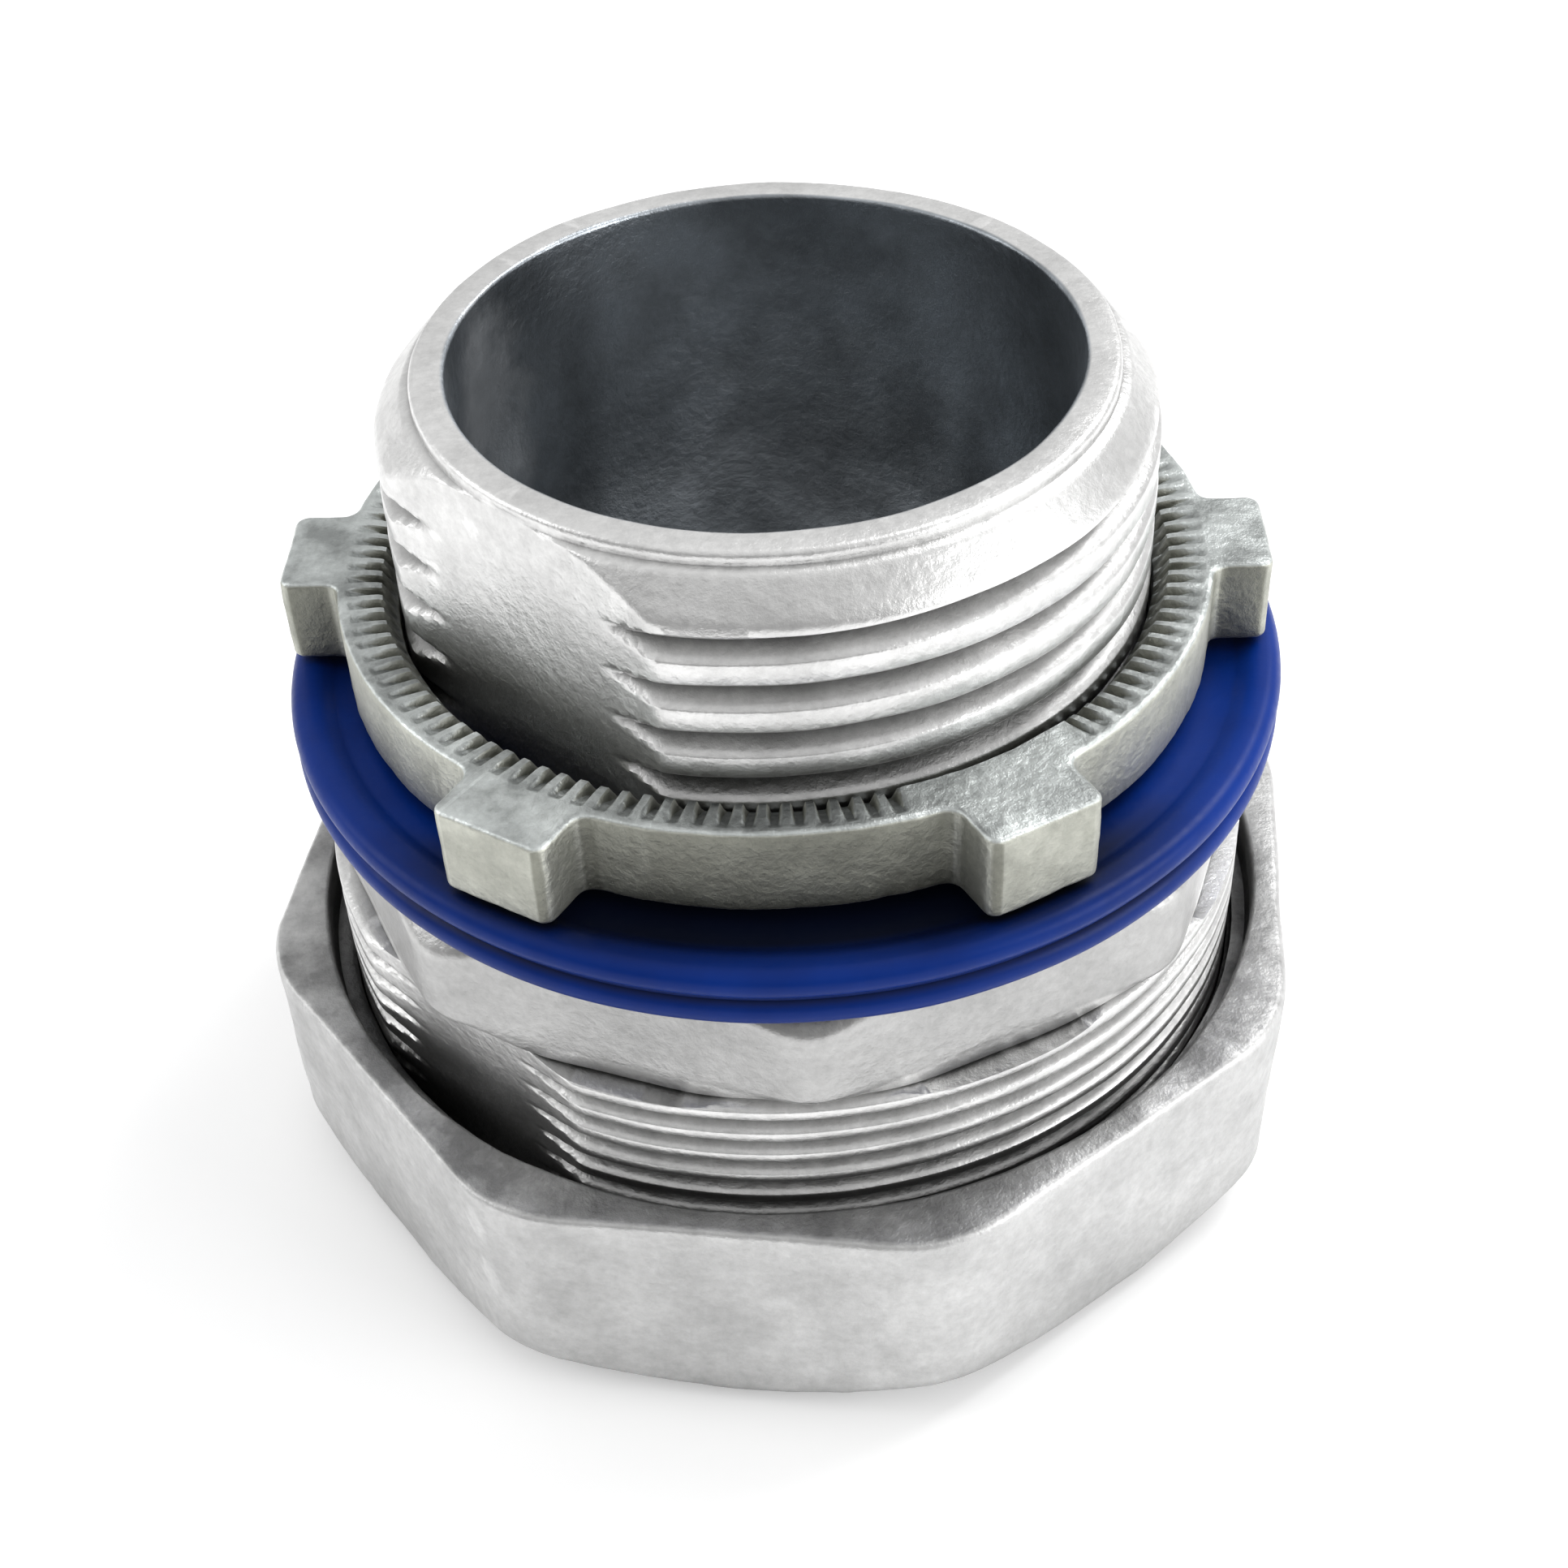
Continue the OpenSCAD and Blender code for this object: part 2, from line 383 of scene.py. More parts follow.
def cast_metal(name, tint, bright, dark, rough, mottle_scale, bump, hollows=(0.5, 0.3), passage=None,
               tops=None, sides=None, front=None, band=None):
    """Die-cast metal: cloudy mottling, fine grain, edges painted brighter as wear and as painted highlight,
    and painted shade in creases and hollows.
    """
    material, nodes, links, shader = new_material(name)
    coords = nodes.new("ShaderNodeTexCoord")
    where = coords.outputs["Object"]
    cloud = noise_node(nodes, links, where, mottle_scale, 5, 0.62)
    patch = noise_node(nodes, links, where, mottle_scale * 0.28, 3, 0.5)
    grain = noise_node(nodes, links, where, mottle_scale * 7, 4, 0.7)
    pits = nodes.new("ShaderNodeTexVoronoi")
    pits.inputs["Scale"].default_value = mottle_scale * 5
    links.new(where, pits.inputs["Vector"])
    base = ramp(nodes, links, cloud, ((0.32, grey(dark, tint)), (0.5, grey((bright + dark) / 2, tint)),
                                      (0.66, grey(bright, tint))))
    broad = ramp(nodes, links, patch, ((0.36, grey(0.84)), (0.62, grey(1.0))))
    base = mix_color(nodes, links, "MULTIPLY", 0.7, base, broad)
    fine = ramp(nodes, links, grain, ((0.3, grey(0.84)), (0.68, grey(1.0))))
    base = mix_color(nodes, links, "MULTIPLY", 1.0, base, fine)
    rough_value = map_range(nodes, links, cloud, 0.3, 0.7, rough + 0.05, rough - 0.04, "LINEAR")
    normal = separate(nodes, links, coords.outputs["Normal"])
    if tops:
        # Level faces are painted darker, a painted shade, with blotches of tarnish over it
        top_shade = ramp(nodes, links, cloud, ((0.38, grey(tops * 0.72)), (0.5, grey(tops)),
                                           (0.62, grey(tops * 1.15))))
        level = map_range(nodes, links, normal["Z"], 0.75, 0.97)
        base = shaded_where(nodes, links, base, level, top_shade)
    if sides:
        # Steep side walls are painted darker and warmer, a painted shade, and are made rougher
        steep = math_node(nodes, links, "ABSOLUTE", normal["Z"], 0.0)
        on_side = map_range(nodes, links, steep, 0.35, 0.75, 1.0, 0.0)
        side_shade, side_rough = sides
        base = shaded_where(nodes, links, base, on_side, side_shade)
        extra_rough = math_node(nodes, links, "MULTIPLY", on_side, side_rough)
        rough_value = math_node(nodes, links, "ADD", rough_value, extra_rough)
    if front:
        # Walls facing the front are painted darker: a painted shade and a painted dark reflection
        toward = map_range(nodes, links, normal["Y"], -0.86, -0.98)
        base = shaded_where(nodes, links, base, toward, front)
    if band:
        # The unmachined band between the two threads
        low, high, band_color = band
        soft = 0.1 * MM
        height = separate(nodes, links, where)["Z"]
        above = map_range(nodes, links, height, low - soft, low + soft)
        below = map_range(nodes, links, height, high - soft, high + soft, 1.0, 0.0)
        base = shaded_where(nodes, links, base, math_node(nodes, links, "MULTIPLY", above, below), band_color)
    # Pointiness paints convex edges brighter, part wear and part painted highlight, and concave creases
    # darker, a painted shade
    edge = ramp(nodes, links, nodes.new("ShaderNodeNewGeometry").outputs["Pointiness"],
                ((0.43, grey(0.6)), (0.5, grey(0.95)), (0.57, grey(1.15))))
    base = mix_color(nodes, links, "MULTIPLY", 0.85, base, edge)
    if passage:
        base = mix_color(nodes, links, "MIX", inside_passage(nodes, links, where), base,
                         passage_color(nodes, links, where, cloud, patch, passage))
    # Painted shade: crevices and recesses are darkened by ambient occlusion
    crevice_shade, recess_shade = hollows
    crevices = occlusion(nodes, links, 1.1 * MM, ((0.2, grey(crevice_shade)), (0.9, grey(1.0))))
    half_shade = (1 + recess_shade) / 2
    recesses = occlusion(nodes, links, 5 * MM, ((0.12, grey(recess_shade)), (0.5, grey(half_shade)),
                                                (0.85, grey(1.0))))
    base = mix_color(nodes, links, "MULTIPLY", 1.0, base, crevices)
    base = mix_color(nodes, links, "MULTIPLY", 1.0, base, recesses)
    links.new(base, shader.inputs["Base Color"])
    shader.inputs["Metallic"].default_value = 1.0
    links.new(rough_value, shader.inputs["Roughness"])
    coarse = nodes.new("ShaderNodeBump")
    coarse.inputs["Strength"].default_value = bump
    coarse.inputs["Distance"].default_value = 0.00006
    links.new(grain, coarse.inputs["Height"])
    pitted = nodes.new("ShaderNodeBump")
    pitted.inputs["Strength"].default_value = bump * 0.6
    pitted.inputs["Distance"].default_value = 0.00003
    links.new(pits.outputs["Distance"], pitted.inputs["Height"])
    links.new(coarse.outputs["Normal"], pitted.inputs["Normal"])
    links.new(pitted.outputs["Normal"], shader.inputs["Normal"])
    return material


def moulded_plastic(name, light, dark, rough, grain_scale, gloss):
    """Moulded plastic or rubber: slight colour drift, fine grain, a soft gloss, painted shade in hollows that
    grows darker towards the front, and a painted shadow in the dish at the front.
    """
    # Limits and colours of the painted shade and of the painted shadow under the locknut
    front_starts, front_full = -9.5 * MM, -14.5 * MM
    dish_inner_r, dish_outer_r = 16.2 * MM, 16.8 * MM
    shadow_color, locknut_shadow_color = (0.0035, 0.0045, 0.007), (0.04, 0.04, 0.04)
    material, nodes, links, shader = new_material(name)
    where = nodes.new("ShaderNodeTexCoord").outputs["Object"]
    drift = noise_node(nodes, links, where, grain_scale * 0.1, 3)
    grain = noise_node(nodes, links, where, grain_scale, 5)
    base = ramp(nodes, links, drift, ((0.35, dark), (0.65, light)))
    # Painted shade: hollows are darkened by ambient occlusion, more strongly towards the front
    deep = occlusion(nodes, links, 0.0045, ((0.3, grey(0.0)), (0.68, grey(0.35)), (0.95, grey(0.8))))
    light_shade = occlusion(nodes, links, 0.003, ((0.1, grey(0.1)), (0.55, grey(0.9)), (0.8, grey(1.0))))
    at_front = map_range(nodes, links, separate(nodes, links, where)["Y"], front_starts, front_full)
    lit_share = mix_color(nodes, links, "MIX", at_front, light_shade, deep)
    # Painted shadow: the front of the dish under the locknut is made near black
    in_dish = map_range(nodes, links, distance_from_axis(nodes, links, where), dish_inner_r, dish_outer_r,
                        1.0, 0.0)
    under_locknut = math_node(nodes, links, "MULTIPLY", at_front, in_dish)
    lit_share = mix_color(nodes, links, "MIX", under_locknut, lit_share, locknut_shadow_color)
    links.new(mix_color(nodes, links, "MIX", lit_share, shadow_color, base), shader.inputs["Base Color"])
    links.new(map_range(nodes, links, grain, 0.3, 0.7, rough - 0.05, rough + 0.08, "LINEAR"),
              shader.inputs["Roughness"])
    shader.inputs["Specular IOR Level"].default_value = gloss
    bump = nodes.new("ShaderNodeBump")
    bump.inputs["Strength"].default_value = 0.25
    bump.inputs["Distance"].default_value = 0.00003
    links.new(grain, bump.inputs["Height"])
    links.new(bump.outputs["Normal"], shader.inputs["Normal"])
    return material


# The hollows pairs set painted shade in hollows; tops, sides and front set painted shade by the way a face
# points
cast_zinc = cast_metal("cast_zinc", (1.0, 0.998, 0.99), 0.95, 0.78, 0.36, 420, 0.55, (0.6, 0.6),
                       passage=(0.52, 0.56, 0.6),
                       band=((SHOULDER + 0.05) * MM, (SEAT + 0.05) * MM, grey(0.66)))
nut_zinc = cast_metal("nut_zinc", (1.0, 1.0, 0.995), 0.76, 0.62, 0.48, 360, 0.8, (0.5, 0.35), tops=0.72)
plated_zinc = cast_metal("plated_zinc", (0.95, 1.0, 0.985), 0.86, 0.66, 0.4, 520, 0.8, (0.85, 0.85),
                         tops=0.8, sides=((0.8, 0.77, 0.7), 0.12), front=(0.52, 0.52, 0.5))
ring_steel = cast_metal("ring_steel", (1.0, 1.0, 1.0), 0.62, 0.5, 0.34, 900, 0.3)
blue_seal = moulded_plastic("blue_seal", (0.0008, 0.032, 0.26), (0.0005, 0.025, 0.21), 0.34, 2600, 0.14)
black_rubber = moulded_plastic("black_rubber", (0.03, 0.03, 0.031), (0.018, 0.018, 0.019), 0.6, 2200, 0.4)


# ---------------------------------------------------------------- body

def hub_rows(skin, thread):
    """The hub's outside, from the rim down to the shoulder's upper face."""
    theta = skin.theta
    lip_r, lip_h = 11.8, 0.45
    lead_h, blank_h, neck_h = 1.9, 1.75, 0.9
    flats = parting_flats(theta, 11.75)

    def radius(z):
        drop = TOP - z
        lead = lip_r + 0.25 * smooth_step(drop, lip_h, lip_h + 0.12)
        lead = lead + (HUB_R - lip_r - 0.1) * np.maximum(drop - lip_h - 0.05, 0) / (lead_h - lip_h)
        depth = thread.cut(theta, z)
        depth = depth * smooth_step(drop, blank_h - 0.35, blank_h + 0.25)
        depth = depth * smooth_step(z, SEAT + neck_h - 0.5, SEAT + neck_h)
        r = smooth_min(HUB_R - depth, lead, 0.25)
        return smooth_min(r, flats, 0.12)

    skin.arc(THROAT_R + 0.16, TOP - 0.16, 0.16, 180, 90)
    skin.add(11.1, TOP)
    skin.arc(lip_r - 0.24, TOP - 0.24, 0.24, 90, 0)
    for drop in (0.36, 0.43, 0.47, 0.5, 0.54, 0.6, 0.7, 0.85, 1.0, 1.2, 1.4, 1.6):
        skin.add(radius(np.full_like(theta, TOP - drop)), TOP - drop)
    for z in thread.heights(theta, TOP - blank_h, SEAT + 0.15):
        skin.add(radius(z), z)


def shoulder_outline(theta):
    apothem, corner_r, first_corner = 16.6, 3.0, math.radians(1.5)
    return polygon_radius(theta, apothem, corner_r, first_corner)


def shoulder_edge(theta):
    """Height of the shoulder's lower edge: each flat runs on down to the thread's first full turn."""
    flat_drop = 0.72
    return SHOULDER - flat_drop * smooth_step(GLAND_R - shoulder_outline(theta), -0.35, 0.6)


def shoulder_rows(skin):
    """The octagon, from its bevelled upper edge down to the edge over the thread."""
    theta = skin.theta
    outline = shoulder_outline(theta)
    bevel_r, bevel_slope = 16.75, 1.15

    def radius(z):
        bevel = bevel_r + (SEAT - z) * bevel_slope
        return smooth_min(outline, bevel, 0.25)

    neck = skin.rows[-1][0]
    edge = radius(np.full_like(theta, SEAT))
    skin.add(neck + 0.1, SEAT)
    skin.add((neck + edge) / 2, SEAT)
    skin.add(edge - 0.15, SEAT)
    for drop in (0.04, 0.12, 0.25, 0.4, 0.6, 0.8, 1.0, 1.3, 1.8, 2.4, 3.0, 3.5, 3.8):
        skin.add(radius(np.full_like(theta, SEAT - drop)), SEAT - drop)
    low_z = shoulder_edge(theta)
    low = radius(low_z)
    for inset, rise in ((0.03, 0.16), (0.1, 0.06), (0.22, 0.0)):
        skin.add(low - inset, low_z + rise)


def gland_rows(skin, thread):
    """The compression thread, from under the shoulder down to the body's lower end."""
    end_inset, lead_slope = 0.55, 0.9
    theta = skin.theta
    flats = parting_flats(theta, 16.45)

    def radius(z):
        lead = GLAND_R - end_inset + lead_slope * (z - BODY_END)
        depth = thread.cut(theta, z)
        r = smooth_min(GLAND_R - depth, lead, 0.2)
        return smooth_min(r, flats, 0.08)

    top_z = shoulder_edge(theta) - 0.02
    skin.add(np.minimum(radius(top_z), skin.rows[-1][0] - 0.02), top_z)
    for z in thread.heights(theta, top_z - 0.03, BODY_END + 0.1):
        skin.add(radius(z), z)


def inside_rows(skin):
    """The cone, the conduit socket, its stop and the wire way, from the lower end up to the rim."""
    cone_mouth_r, cone_h = 15.6, 3.0
    skin.add(16.05, BODY_END)
    skin.arc(cone_mouth_r + 0.12, BODY_END + 0.12, 0.12, 270, 215)
    mouth = (cone_mouth_r, BODY_END + 0.15)
    skin.spread(mouth, (SOCKET_R, BODY_END + cone_h), 5)
    skin.spread((SOCKET_R, BODY_END + cone_h), (SOCKET_R, SOCKET_TOP - 0.2), 8)
    skin.arc(SOCKET_R - 0.2, SOCKET_TOP - 0.2, 0.2, 0, 90)
    skin.spread((SOCKET_R - 0.2, SOCKET_TOP), (THROAT_R + 0.3, SOCKET_TOP), 3)
    skin.arc(THROAT_R + 0.3, SOCKET_TOP + 0.3, 0.3, 270, 180)
    skin.spread((THROAT_R, SOCKET_TOP + 0.3), (THROAT_R, TOP - 0.5), 24)


def make_body():
    skin = Skin(np.linspace(0, TURN, 541))
    hub_rows(skin, hub_thread(0.82))
    shoulder_rows(skin)
    gland_rows(skin, gland_thread(0.58))
    inside_rows(skin)
    piece = skin.build("body_casting", ((2.6, 0.04), (0.9, 0.008)))
    place(piece, "body", "body", cast_zinc)


# ---------------------------------------------------------------- compression nut

def make_nut():
    height = nut_high[2] - nut_low[2]
    skin = Skin(np.linspace(0, TURN, 577))
    theta = skin.theta
    thread = gland_thread(0.5)
    low_apothem, taper, corner_r, first_corner = 18.9, 0.28, 2.4, math.radians(13.7)
    turned_r, bevel_h, end_r, bevel_slope = 20.28, 1.76, 18.35, 1.12
    mouth_r, mouth_h = 18.1, 1.6
    room_r, floor_h, room_top = 16.0, 2.0, 4.5
    edge_r = 0.3

    def outline(z):
        apothem = low_apothem + taper * (z / height)
        flats = polygon_radius(theta, apothem, corner_r, first_corner)
        turned = smooth_min(np.full_like(theta, turned_r), end_r + z * bevel_slope, 0.5)
        return smooth_min(flats, turned, 0.35)

    skin.arc(mouth_r + 0.18, height - 0.18, 0.18, 180, 90)
    edge = outline(np.full_like(theta, height))
    skin.add((mouth_r + 0.18) * 0.5 + (edge - edge_r) * 0.5, height)
    for inset, drop in edge_steps(edge_r):
        skin.add(outline(np.full_like(theta, height - drop)) - inset, height - drop)
    for z in np.linspace(height - 0.8, bevel_h + 1.2, 14):
        skin.add(outline(np.full_like(theta, z)), z)
    for z in np.linspace(bevel_h + 1.0, 0.25, 18):
        skin.add(outline(np.full_like(theta, z)), z)
    end = outline(np.full_like(theta, 0.12))
    skin.add(end - 0.04, 0.12)
    skin.add(end - 0.16, 0.03)
    skin.add(end - 0.35, 0.0)
    skin.spread((18.0, 0.0), (ENTRY_R + 1.0, 0.0), 4)
    skin.arc(ENTRY_R + 0.95, 0.15, 0.15, 270, 225)
    skin.spread((ENTRY_R + 0.82, 0.06), (ENTRY_R + 0.04, 0.76), 4)
    skin.spread((ENTRY_R, 0.85), (ENTRY_R, floor_h - 0.1), 3)
    skin.add(ENTRY_R + 0.1, floor_h)
    skin.spread((ENTRY_R + 0.1, floor_h), (room_r - 0.2, floor_h), 4)
    skin.arc(room_r - 0.2, floor_h + 0.2, 0.2, 270, 360)
    skin.spread((room_r, floor_h + 0.2), (room_r, room_top), 4)
    skin.add(room_r + 0.15, room_top + 0.1)
    bore_low, bore_high = room_top + 0.15, height - mouth_h - 0.08
    skin.add(NUT_BORE_R - 0.1, bore_low)
    inner = []
    for z in thread.heights(theta, bore_high, bore_low):
        depth = thread.cut(theta, z) * smooth_step(z, bore_low + 0.1, bore_low + 0.8)
        inner.append((NUT_BORE_R + depth, z))
    for r, z in reversed(inner):
        skin.add(r, z)
    skin.add(NUT_BORE_R + 0.15, bore_high + 0.08)
    skin.add(mouth_r - 0.12, bore_high + 0.08)
    skin.spread((mouth_r, bore_high + 0.2), (mouth_r, height - 0.25), 4)
    piece = skin.build("compression_nut_casting", ((3.2, 0.06), (0.8, 0.022)))
    place(piece, "compression_nut", "compression_nut", nut_zinc)


# ---------------------------------------------------------------- locknut

def lug_columns():
    """Angles round the locknut: even steps that suit the teeth, and finer ones beside each lug."""
    even = np.linspace(0, TURN, 1441)
    fine = [FIRST_LUG + k * TURN / LUGS + s * math.radians(a)
            for k in range(LUGS) for s in (-1, 1) for a in np.arange(5.4, 9.6, 0.12)]
    angles = np.unique(np.round(np.concatenate([even, np.mod(fine, TURN)]), 7))
    return np.append(angles[angles < TURN - 1e-6], TURN)


def locknut_outline(theta, inset):
    """Distance from the axis to the locknut's outline, set in by inset, with filleted lugs."""
    ring_r, lug_r, half_w, fillet, corner = 15.4, 17.33, 2.1, 0.55, 0.45
    sector = TURN / LUGS
    local = (theta - FIRST_LUG + sector / 2) % sector - sector / 2

    def outside(r):
        x, y = r * np.cos(local), r * np.sin(local)
        ring = r - ring_r
        dx, dy = x - (lug_r - corner), np.abs(y) - (half_w - corner)
        lug = np.hypot(np.maximum(dx, 0), np.maximum(dy, 0)) + np.minimum(np.maximum(dx, dy), 0) - corner
        lug = np.maximum(lug, np.where(r < 13.5, 1.0, lug))
        return smooth_min(ring, lug, fillet)

    low = np.full_like(theta, 14.0)
    high = np.full_like(theta, 18.0)
    for _ in range(30):
        middle = (low + high) / 2
        inside = outside(middle) < -inset
        low = np.where(inside, middle, low)
        high = np.where(inside, high, middle)
    return low


def make_locknut():
    z0, z1 = lock_low[2], lock_high[2]
    skin = Skin(lug_columns())
    theta = skin.theta
    thread = hub_thread(0.5)
    mouth_r, teeth_r = 13.95, 15.12
    edge_r = 0.18
    teeth, tooth_depth = 120, 0.5
    # One lug has a smooth pad in place of the teeth beside it
    pad = math.radians(-62.5)
    off_pad = np.abs((theta - pad + math.pi) % TURN - math.pi)
    toothed = smooth_step(off_pad, math.radians(12.5), math.radians(13.5))
    tooth = smooth_step(np.cos(teeth * theta), -0.65, 0.35)
    tooth_cut = tooth_depth * (1 - tooth) * toothed

    skin.add(LOCK_BORE_R + 0.45, z0)
    skin.add(14.4, z0)
    for inset, rise in edge_steps(edge_r):
        skin.add(locknut_outline(theta, inset), z0 + rise)
    wall = locknut_outline(theta, 0.0)
    for t in np.linspace(0.15, 0.85, 7):
        skin.add(wall, z0 + edge_r + (z1 - z0 - 2 * edge_r) * t)
    for inset, drop in reversed(edge_steps(edge_r)):
        skin.add(locknut_outline(theta, inset), z1 - drop)
    rim = locknut_outline(theta, edge_r)
    skin.add(rim * 0.5 + (teeth_r + 0.04) * 0.5, z1)
    skin.add(teeth_r + 0.03, z1)
    for t in (0, 0.06, 0.12, 0.2, 0.35, 0.5, 0.65, 0.8, 0.92, 1):
        r = teeth_r + (mouth_r - teeth_r) * t
        fall = smooth_step(np.full_like(theta, t), 0.0, 0.22) * (0.2 + 0.8 * t * t)
        skin.add(r, z1 - tooth_cut * fall - 0.1 * t * t * toothed)
    skin.add(mouth_r - 0.12, z1 - 0.14 - tooth_cut)
    skin.add(LOCK_BORE_R + 0.3, z1 - 0.55 - tooth_cut * 0.5)
    bore_high, bore_low = z1 - 0.95, z0 + 0.35
    for z in thread.heights(theta, bore_high, bore_low):
        depth = thread.cut(theta, z) * smooth_step(z, bore_low, bore_low + 0.5)
        skin.add(LOCK_BORE_R + 0.05 + depth, z)
    piece = skin.build("locknut_casting", ((1.6, 0.03), (0.55, 0.022)))
    place(piece, "locknut", "locknut", plated_zinc)


# ---------------------------------------------------------------- sealing ring

def make_sealing_ring():
    z0, z1 = seal_low[2], seal_high[2]
    outer = seal_high[0]
    inner = HUB_R + 0.48
    bead = (z1 - z0) / 4
    dish_r, dish_z = outer - bead - 1.15, z1 - 0.3
    skin = Skin(np.linspace(0, TURN, 361))
    skin.arc(inner + 0.12, z0 + 0.12, 0.12, 180, 270, 3)
    skin.spread((inner + 0.12, z0), (outer - bead, z0), 6)
    skin.arc(outer - bead, z0 + bead, bead, -80, 62, 12)
    skin.arc(outer - bead, z1 - bead, bead, -62, 90, 12)
    skin.add(outer - bead - 0.35, z1)
    skin.add(outer - bead - 0.65, z1 - 0.07)
    skin.add(outer - bead - 0.95, z1 - 0.25)
    skin.add(dish_r, dish_z)
    skin.spread((dish_r, dish_z), (inner + 0.15, dish_z), 5)
    skin.arc(inner + 0.12, dish_z - 0.12, 0.12, 90, 180, 3)
    piece = skin.build("sealing_ring_moulding", ((4.0, 0.025),))
    # The ring is loose on the hub and lies a little to one side
    off_centre = Vector((0.2, -0.32, 0)) * MM
    piece.data.transform(Matrix.Translation(off_centre))
    place(piece, "sealing_ring", "sealing_ring", blue_seal)


# ---------------------------------------------------------------- gland pack

def make_compression_ring():
    """The split ring: an open sweep, closed by a flat end on each side of the split."""
    z0, z1 = ring_low[2], ring_high[2]
    height = z1 - z0
    base_r, nose_r, base_h = 15.4, 14.2, 0.65
    outline = [(ENTRY_R + 0.1, 0), (base_r - 0.1, 0), (base_r, 0.1), (base_r, base_h),
               (nose_r + 0.06, height - 0.08), (nose_r - 0.06, height), (ENTRY_R + 0.1, height)]
    grips = 6
    pitch = height / grips
    for k in range(grips):
        z = height - pitch * (k + 0.5)
        outline += [(ENTRY_R + 0.02, z + pitch * 0.3), (ENTRY_R + 0.22, z), (ENTRY_R + 0.02, z - pitch * 0.3)]
    half_split_w, split_r = 1.0, 14.5
    half_split = math.asin(half_split_w / split_r)
    split_at = math.radians(45)
    columns = np.linspace(split_at + half_split, split_at + TURN - half_split, 241)
    points = [(r * math.cos(t), r * math.sin(t), z0 + z) for t in columns for r, z in outline]
    n = len(outline)
    faces = [(k * n + i, k * n + (i + 1) % n, (k + 1) * n + (i + 1) % n, (k + 1) * n + i)
             for k in range(len(columns) - 1) for i in range(n)]
    mesh = bpy.data.meshes.new("split_compression_ring")
    ends = [tuple(range(n)), tuple(reversed(range((len(columns) - 1) * n, len(columns) * n)))]
    mesh.from_pydata((np.array(points) * MM).tolist(), [], faces + ends)
    bm = bmesh.new()
    bm.from_mesh(mesh)
    bmesh.ops.recalc_face_normals(bm, faces=bm.faces)
    for face in bm.faces:
        face.smooth = True
    bm.to_mesh(mesh)
    bm.free()
    mesh.set_sharp_from_angle(angle=math.radians(30))
    piece = bpy.data.objects.new("split_compression_ring", mesh)
    bpy.context.scene.collection.objects.link(piece)
    place(piece, "gland_pack", "compression_ring", ring_steel)


def flat_ring(inner, outer, low, high, edge_r):
    """A ring of rectangular section with rounded edges."""
    skin = Skin(np.linspace(0, TURN, 241))
    skin.arc(outer - edge_r, high - edge_r, edge_r, 90, 0)
    skin.arc(outer - edge_r, low + edge_r, edge_r, 0, -90)
    skin.arc(inner + edge_r, low + edge_r, edge_r, 270, 180)
    skin.arc(inner + edge_r, high - edge_r, edge_r, 180, 90)
    return skin


def make_gasket():
    skin = flat_ring(ENTRY_R, gasket_high[0], gasket_low[2], gasket_high[2], 0.3)
    piece = skin.build("rubber_gasket", ((1.2, 0.02),))
    place(piece, "gland_pack", "gasket", black_rubber)


def make_washer():
    skin = flat_ring(ENTRY_R + 0.2, washer_high[0], washer_low[2], washer_high[2], 0.12)
    piece = skin.build("steel_slip_washer")
    place(piece, "gland_pack", "slip_washer", ring_steel)


make_body()
make_nut()
make_locknut()
make_sealing_ring()
make_compression_ring()
make_gasket()
make_washer()


# ---------------------------------------------------------------- floor, light and camera

def make_floor():
    mesh = bpy.data.meshes.new("floor")
    half = 3.0
    corners = [(-half, -half, 0), (half, -half, 0), (half, half, 0), (-half, half, 0)]
    mesh.from_pydata(corners, [], [(0, 1, 2, 3)])
    floor = bpy.data.objects.new("floor", mesh)
    floor.location.z = -0.0002
    bpy.context.scene.collection.objects.link(floor)
    material, _, _, shader = new_material("floor_paper")
    shader.inputs["Base Color"].default_value = (0.9, 0.9, 0.9, 1)
    shader.inputs["Roughness"].default_value = 0.8
    shader.inputs["Emission Color"].default_value = (1, 1, 1, 1)
    shader.inputs["Emission Strength"].default_value = 0.3
    mesh.materials.append(material)


def softbox(name, azimuth, elevation, distance, width, height, power):
    """A soft rectangular light aimed at the part; azimuth 0 is the front, and positive is to the right."""
    data = bpy.data.lights.new(name, "AREA")
    data.shape = "RECTANGLE"
    data.size, data.size_y = width, height
    data.energy = power
    light = bpy.data.objects.new(name, data)
    az, el = math.radians(azimuth), math.radians(elevation)
    aim = Vector((0, 0, 0.018))
    toward = Vector((math.sin(az) * math.cos(el), -math.cos(az) * math.cos(el), math.sin(el)))
    light.location = aim + distance * toward
    light.rotation_euler = (light.location - aim).to_track_quat("Z", "Y").to_euler()
    bpy.context.scene.collection.objects.link(light)


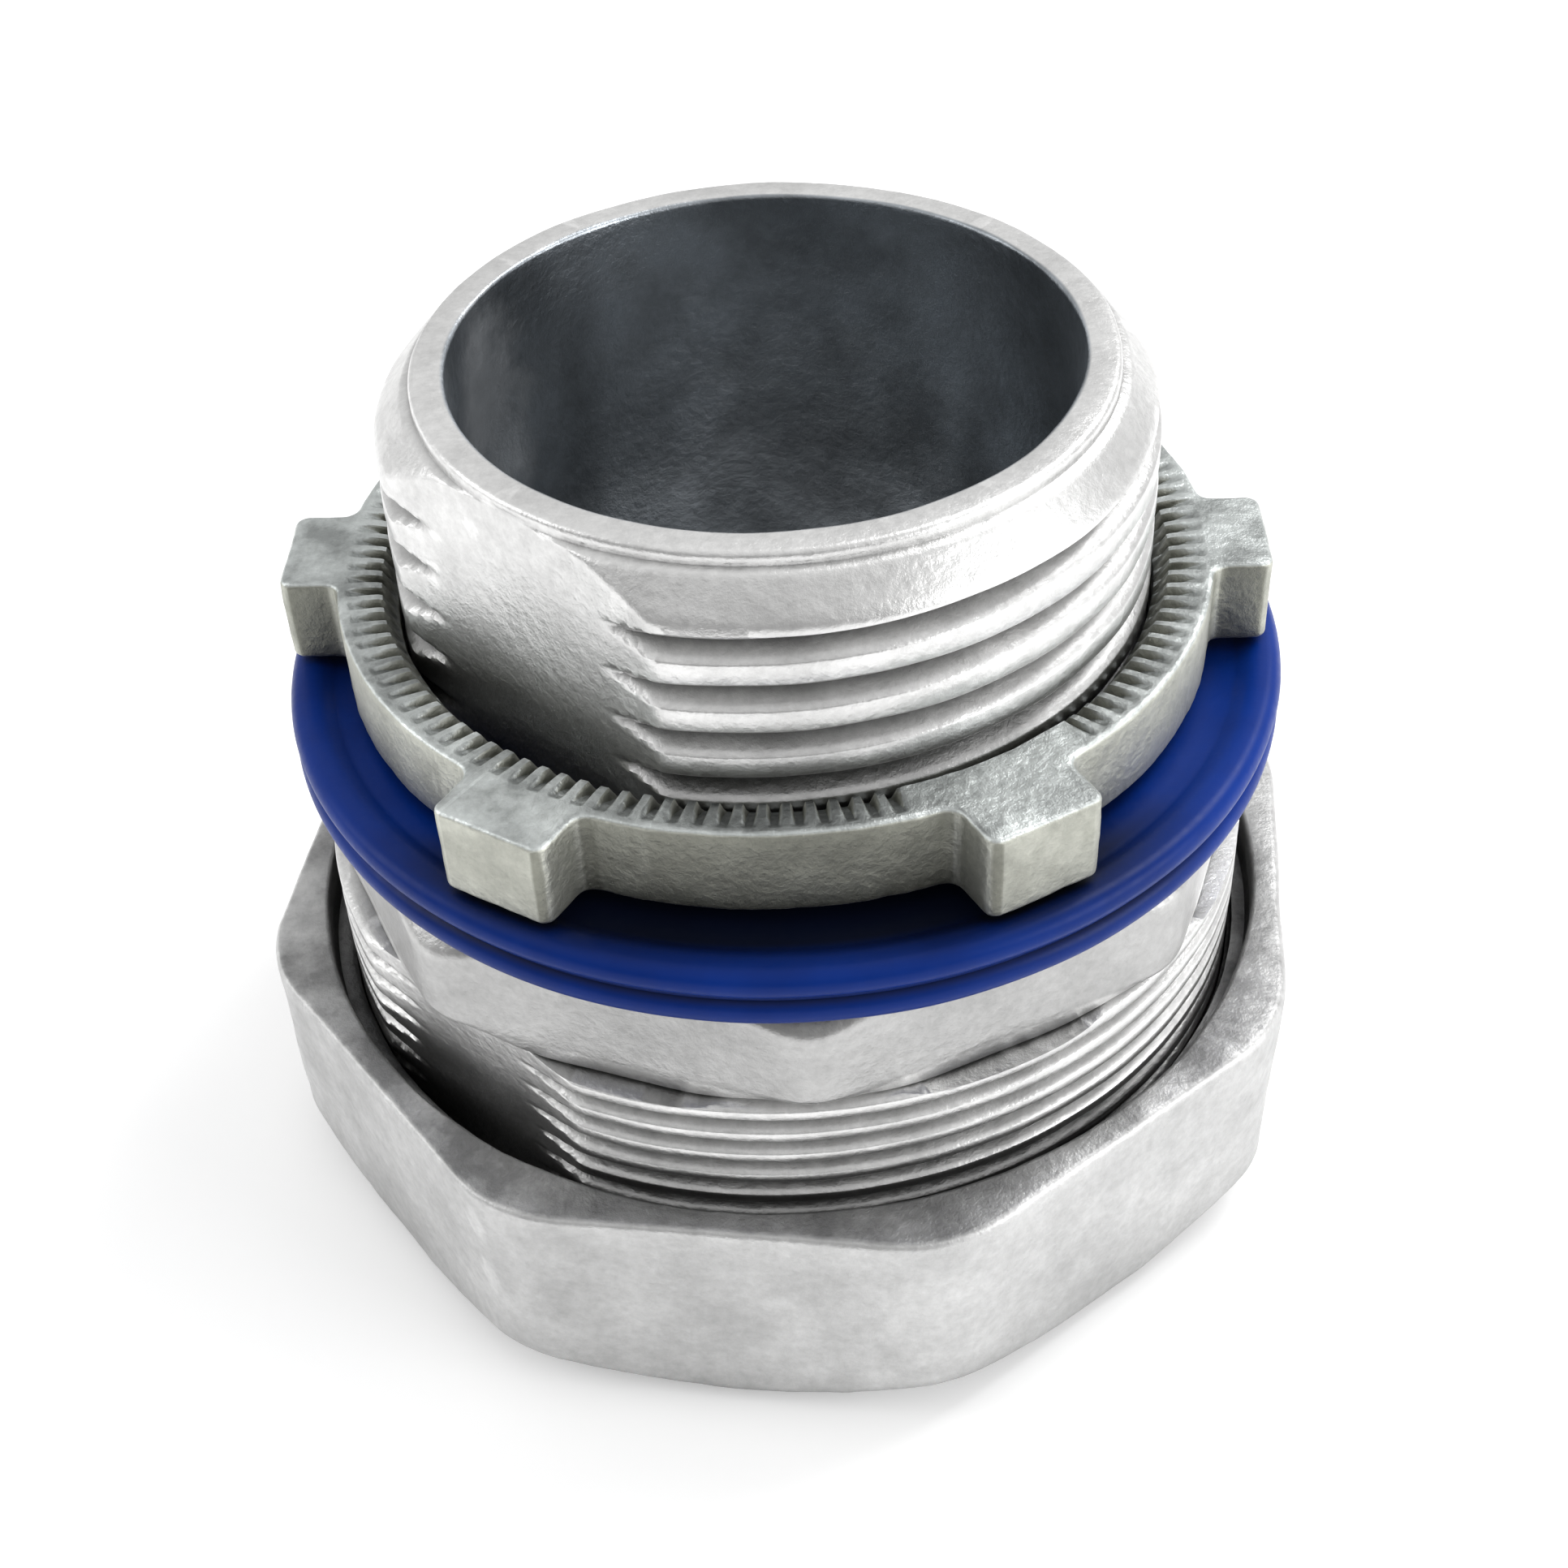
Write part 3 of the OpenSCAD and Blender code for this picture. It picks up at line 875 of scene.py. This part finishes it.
def make_world():
    """Soft surroundings: bright overhead and behind the part, dimmer low down in front of it."""
    world = bpy.data.worlds.new("studio")
    world.use_nodes = True
    nodes, links = world.node_tree.nodes, world.node_tree.links
    lean = nodes.new("ShaderNodeVectorMath")
    lean.operation = "DOT_PRODUCT"
    lean.inputs[1].default_value = (0.12, 0.42, 1.0)
    links.new(nodes.new("ShaderNodeTexCoord").outputs["Generated"], lean.inputs[0])
    level = map_range(nodes, links, lean.outputs["Value"], -1.0, 1.0, 0.0, 1.0, "LINEAR")
    shade = ramp(nodes, links, level, ((0.3, grey(0.12)), (0.5, grey(0.42)), (0.72, grey(0.85)),
                                       (0.95, grey(1.0))))
    links.new(shade, nodes["Background"].inputs["Color"])
    nodes["Background"].inputs["Strength"].default_value = 0.8
    bpy.context.scene.world = world
    bpy.context.scene.view_settings.view_transform = "Standard"


def make_camera():
    """The camera stands close to the part and looks down at the rim from the front."""
    elevation, roll, pan, tilt = (math.radians(a) for a in (30.42, -2.73, -0.03, -10.9))
    distance = 0.07691
    rim = Vector((0, 0, TOP * MM))
    place_at = rim + distance * Vector((0, -math.cos(elevation), math.sin(elevation)))
    forward = (rim - place_at).normalized()
    right = forward.cross(Vector((0, 0, 1))).normalized()
    up = right.cross(forward)
    look = (forward * math.cos(tilt) * math.cos(pan) + right * math.sin(pan) * math.cos(tilt)
            + up * math.sin(tilt)).normalized()
    right = look.cross(Vector((0, 0, 1))).normalized()
    up = right.cross(look)
    side = right * math.cos(roll) + up * math.sin(roll)
    over = up * math.cos(roll) - right * math.sin(roll)
    data = bpy.data.cameras.new("camera")
    data.lens = 52.39
    data.sensor_width = 36
    data.clip_start = 0.005
    camera = bpy.data.objects.new("camera", data)
    frame_matrix = Matrix((side, over, -look)).transposed().to_4x4()
    frame_matrix.translation = place_at
    camera.matrix_world = frame_matrix
    bpy.context.scene.collection.objects.link(camera)
    bpy.context.scene.camera = camera


make_floor()
make_world()
softbox("key_back_right", 125, 48, 0.5, 0.22, 0.22, 1.0)
softbox("side_left", -95, 28, 0.5, 0.2, 0.3, 0.42)
softbox("side_right", 66, 18, 0.5, 0.3, 0.22, 0.95)
make_camera()
